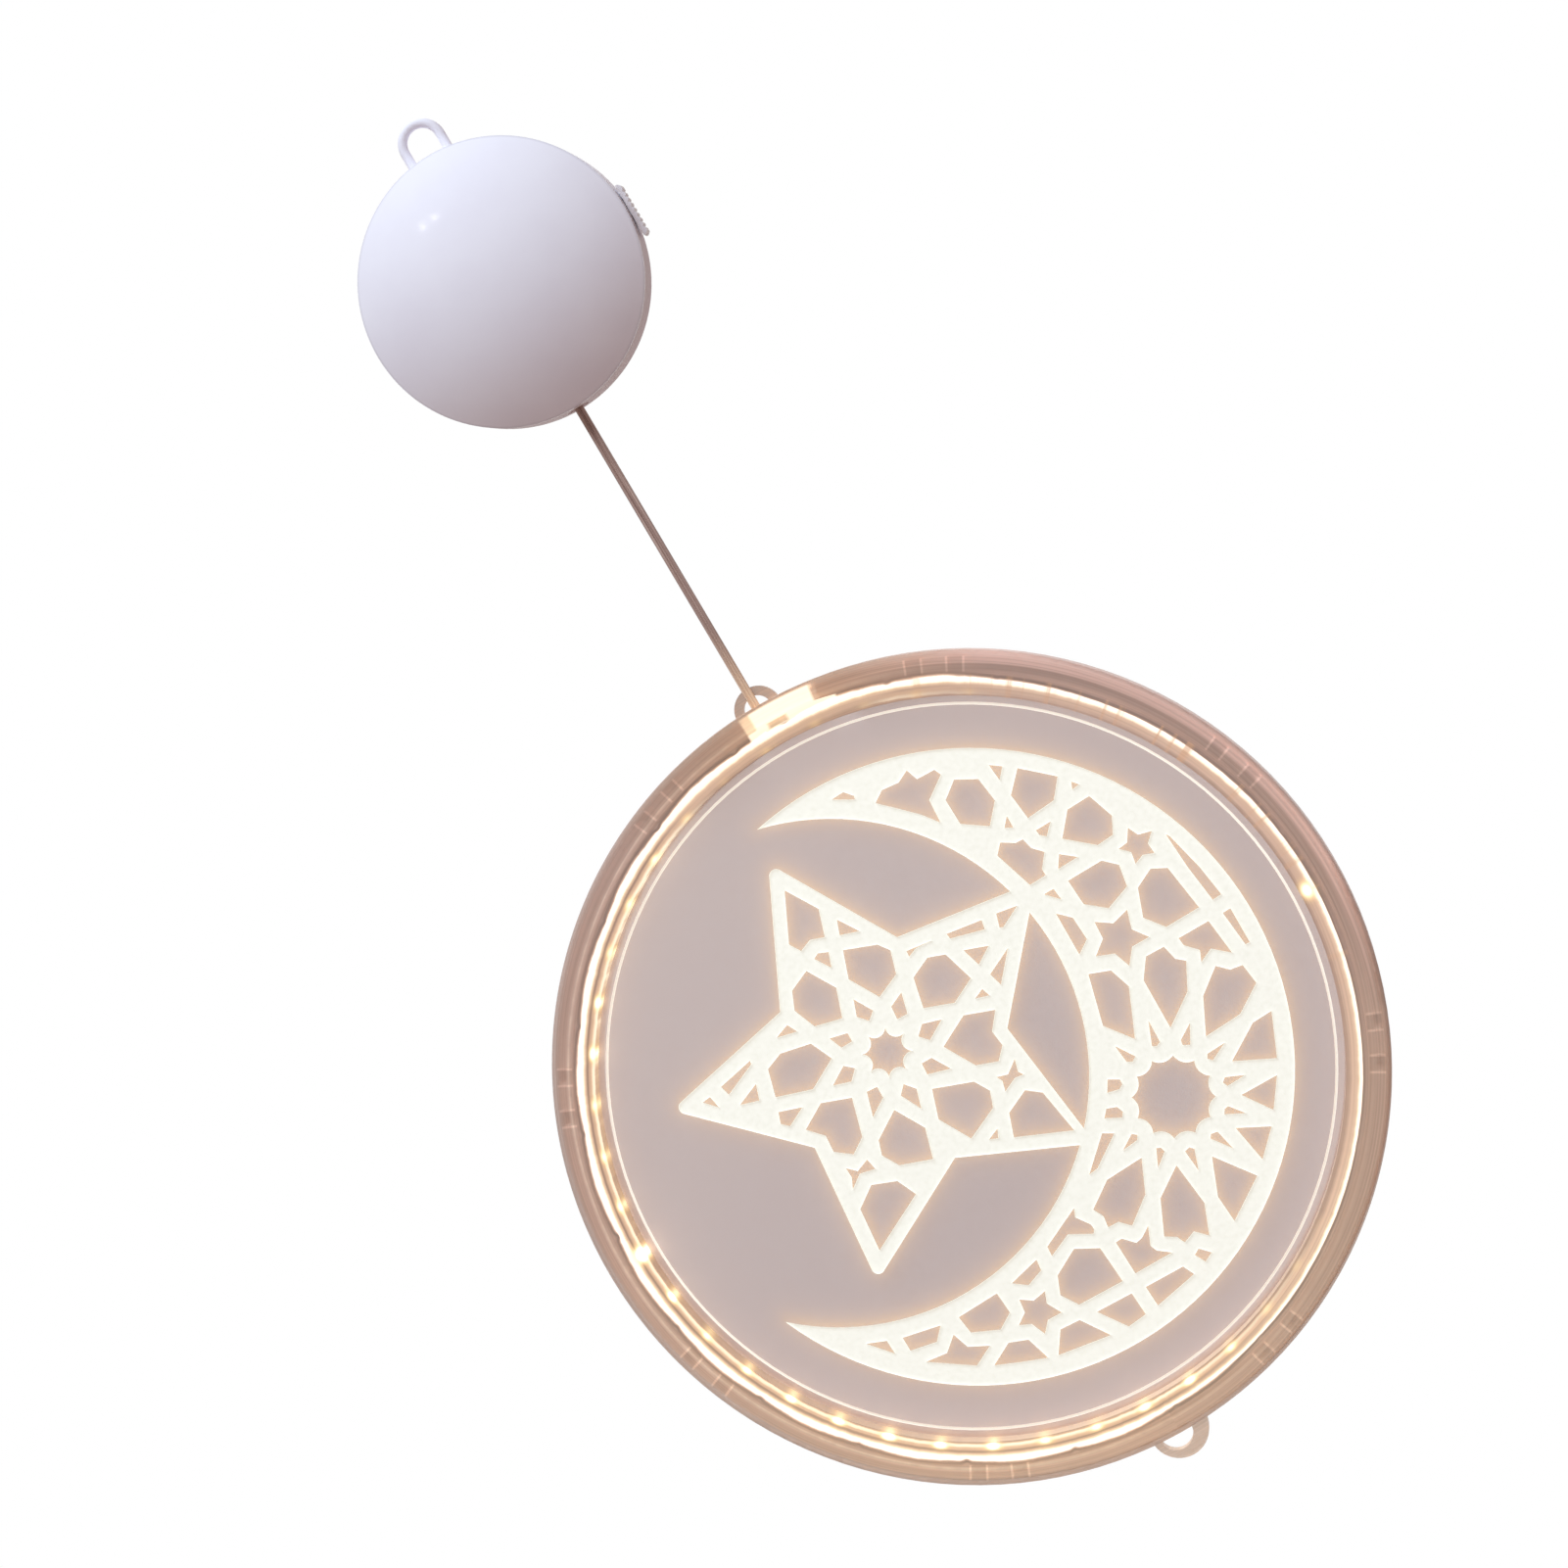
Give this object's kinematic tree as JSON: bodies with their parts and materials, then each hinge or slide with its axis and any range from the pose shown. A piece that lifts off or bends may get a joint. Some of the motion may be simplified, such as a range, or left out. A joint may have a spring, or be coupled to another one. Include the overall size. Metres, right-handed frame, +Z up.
{
  "type": "hanging crescent light ornament",
  "caption": "Battery lamp that hangs from an eye: domed round battery box, straight cord and a clear edge-lit ring whose panel is engraved with a crescent and a star.",
  "frame": {"origin": "middle of the hanging eye on top of the battery box", "axes": "+Z up along the cord, -Y out of the engraved front, +X to the right seen from the front"},
  "size_m": [0.18, 0.0218, 0.3315],
  "materials": {
    "box_shell": "gloss white",
    "screw_steel": "zinc plated",
    "cell_sleeve": "printed sleeve, plain",
    "contact_sheet": "nickel plated",
    "switch_black": "matt black",
    "switch_knob": "satin grey",
    "cord_sleeve": "clear sleeve over copper",
    "clear_ring": "clear, polished",
    "clear_panel": "clear, engraved in front",
    "strip_white": "white",
    "led_lens": "warm white light",
    "anchor_clear": "milky clear"
  },
  "bodies": {
    "battery_box": {"box_cover": "box_shell", "box_tray": "box_shell", "case_screws": "screw_steel", "battery_cell_left": "cell_sleeve", "battery_cell_middle": "cell_sleeve", "battery_cell_right": "cell_sleeve", "contact_plus": "contact_sheet", "contact_minus": "contact_sheet", "contact_bridge_upper": "contact_sheet", "contact_bridge_lower": "contact_sheet", "switch_body": "switch_black"},
    "switch": {"switch_slider": "switch_knob"},
    "door": {"battery_door": "box_shell"},
    "cord_top": {"cord_knot": "cord_sleeve"},
    "lamp": {"hanging_cord": "cord_sleeve", "ring_front": "clear_ring", "ring_rear": "clear_ring", "engraved_panel": "clear_panel", "led_strip": "strip_white", "led_chips": "led_lens", "cord_anchor": "anchor_clear", "strip_leads": "cord_sleeve"}
  },
  "joints": [
    {"name": "switch_slide", "type": "slide", "parent": "battery_box", "child": "switch", "axis": [0, 0, 1], "range_m": [0, 0.002]},
    {"name": "door_hinge", "type": "hinge", "parent": "battery_box", "child": "door", "pos_m": [0, 0.0069, -0.01029], "axis": [1, 0, 0], "range_deg": [0, 75]},
    {"name": "cord_twist", "type": "hinge", "parent": "battery_box", "child": "cord_top", "pos_m": [0, 0, -0.06293], "axis": [0, 0, 1], "range_deg": [-90, 90]},
    {"name": "lamp_swing", "type": "hinge", "parent": "cord_top", "child": "lamp", "pos_m": [0, 0, -0.06293], "axis": [0, 1, 0], "range_deg": [-22, 22]}
  ]
}
